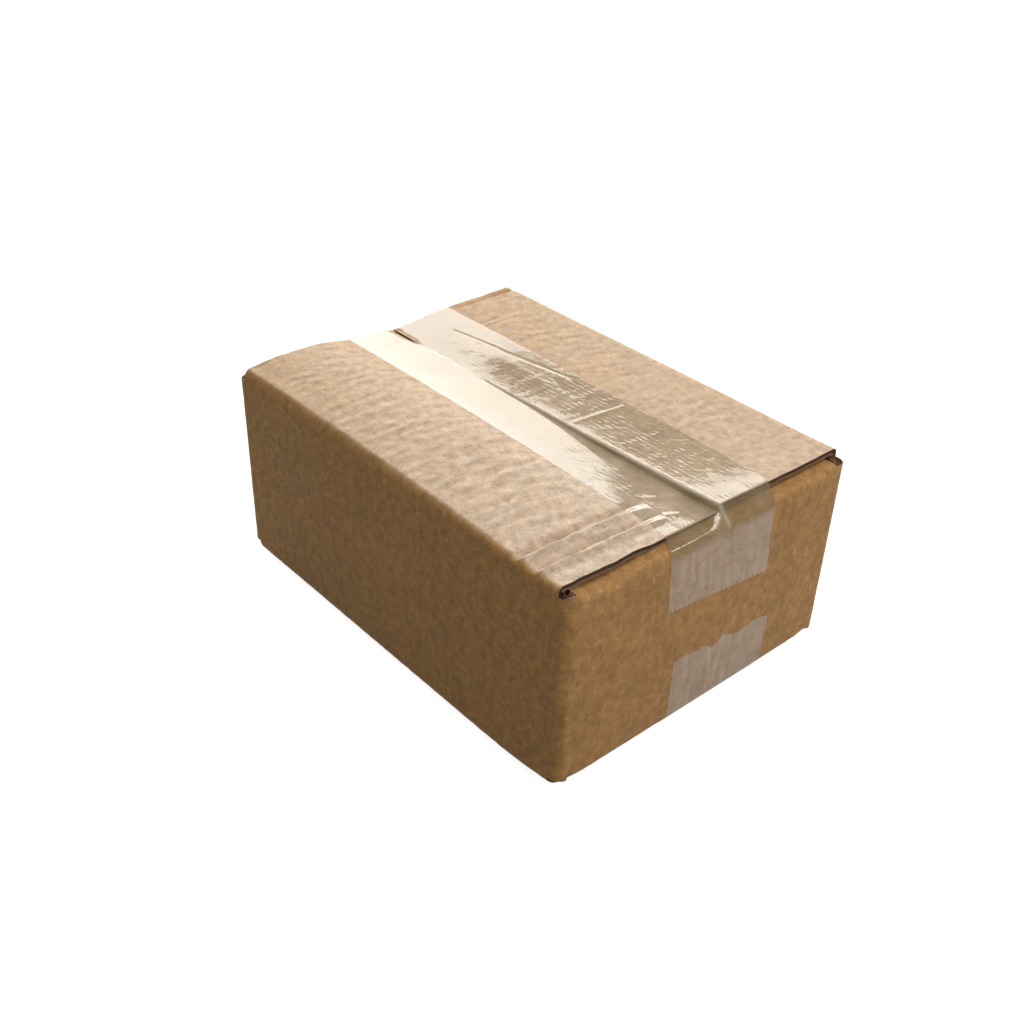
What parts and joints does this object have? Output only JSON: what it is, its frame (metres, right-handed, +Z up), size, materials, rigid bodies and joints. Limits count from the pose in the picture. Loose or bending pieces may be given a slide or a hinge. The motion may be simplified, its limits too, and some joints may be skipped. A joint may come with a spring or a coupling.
{
  "type": "taped parcel",
  "caption": "Small corrugated carton with folded flaps, closed along its seams by clear packing tape.",
  "frame": {"origin": "centre of the parcel's footprint, on the surface that it rests on", "axes": "+X along the long side towards the taped end panel shown in front, +Y towards the far long side, +Z up through the taped top"},
  "size_m": [0.1782, 0.128, 0.0821],
  "materials": {
    "kraft_board": "matte",
    "clear_tape": "gloss"
  },
  "bodies": {
    "root": {"carton": "kraft_board", "top_tape": "clear_tape", "bottom_tape": "clear_tape"}
  },
  "joints": []
}
